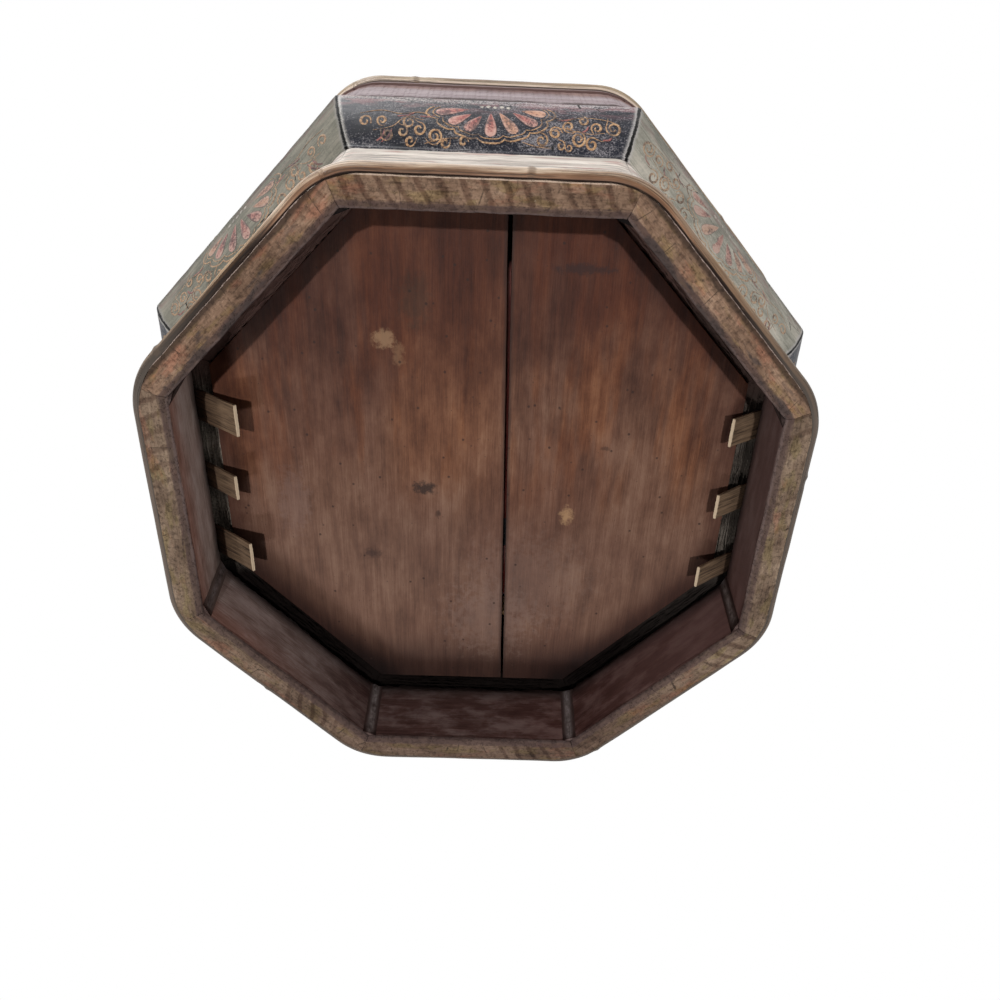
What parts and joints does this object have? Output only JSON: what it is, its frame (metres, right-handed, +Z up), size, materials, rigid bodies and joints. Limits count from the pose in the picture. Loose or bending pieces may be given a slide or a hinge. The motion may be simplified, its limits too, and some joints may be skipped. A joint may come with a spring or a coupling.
{
  "type": "wedding basket",
  "caption": "Octagonal lacquered bamboo and wood basket on a deep hollow foot, with flaring painted panels, a woven wall, split bamboo hoops and a lid that lifts off.",
  "frame": {"origin": "centre of the plane that the foot stands on", "axes": "+Z up, -Y towards the painted front side, +X to the right seen from the front"},
  "size_m": [0.3802, 0.3802, 0.245],
  "materials": {
    "foot_wood": "bare and weathered below, dark lacquer inside and out",
    "bamboo_hoop": "split bamboo skin, worn satin",
    "joint_strip": "lacquered paper strip, dusty",
    "floor_wood": "red-brown oiled softwood, dry satin",
    "fibre_packing": "dusty dark bamboo fibre",
    "bamboo_slip": "raw split bamboo, cut ends",
    "black_lacquer": "black lacquer with painted flowers, worn gloss",
    "red_lacquer": "faded red lacquer, dusty",
    "woven_bamboo": "woven split bamboo under thin worn red lacquer, dusty",
    "collar_bamboo": "bare bamboo strip, satin",
    "top_lacquer": "black and red lacquer with painted flowers"
  },
  "bodies": {
    "basket": {"body_wall": "woven_bamboo", "floor_packing": "fibre_packing", "floor_plank_left": "floor_wood", "floor_plank_right": "floor_wood", "floor_slip_1_left": "bamboo_slip", "floor_slip_2_left": "bamboo_slip", "floor_slip_3_left": "bamboo_slip", "floor_slip_4_right": "bamboo_slip", "floor_slip_5_right": "bamboo_slip", "floor_slip_6_right": "bamboo_slip", "foot_board_back": "foot_wood", "foot_board_back_left": "foot_wood", "foot_board_back_right": "foot_wood", "foot_board_front": "foot_wood", "foot_board_front_left": "foot_wood", "foot_board_front_right": "foot_wood", "foot_board_left": "foot_wood", "foot_board_right": "foot_wood", "foot_corner_strips": "joint_strip", "foot_hoop": "bamboo_hoop", "rim_collar": "collar_bamboo", "rim_hoop": "bamboo_hoop", "rim_rail_back": "red_lacquer", "rim_rail_back_left": "red_lacquer", "rim_rail_back_right": "red_lacquer", "rim_rail_front": "red_lacquer", "rim_rail_front_left": "red_lacquer", "rim_rail_front_right": "red_lacquer", "rim_rail_left": "red_lacquer", "rim_rail_right": "red_lacquer", "side_panel_back": "black_lacquer", "side_panel_back_left": "black_lacquer", "side_panel_back_right": "black_lacquer", "side_panel_front": "black_lacquer", "side_panel_front_left": "black_lacquer", "side_panel_front_right": "black_lacquer", "side_panel_left": "black_lacquer", "side_panel_right": "black_lacquer"},
    "lid": {"lid_hoop": "bamboo_hoop", "lid_panel_back": "black_lacquer", "lid_panel_back_left": "black_lacquer", "lid_panel_back_right": "black_lacquer", "lid_panel_front": "black_lacquer", "lid_panel_front_left": "black_lacquer", "lid_panel_front_right": "black_lacquer", "lid_panel_left": "black_lacquer", "lid_panel_right": "black_lacquer", "lid_rail_back": "red_lacquer", "lid_rail_back_left": "red_lacquer", "lid_rail_back_right": "red_lacquer", "lid_rail_front": "red_lacquer", "lid_rail_front_left": "red_lacquer", "lid_rail_front_right": "red_lacquer", "lid_rail_left": "red_lacquer", "lid_rail_right": "red_lacquer", "lid_top_hoop": "bamboo_hoop", "lid_top_left": "top_lacquer", "lid_top_right": "top_lacquer"}
  },
  "joints": [
    {"name": "lid_lift", "type": "slide", "parent": "basket", "child": "lid", "axis": [0, 0, 1], "range_m": [0, 0.1]}
  ]
}
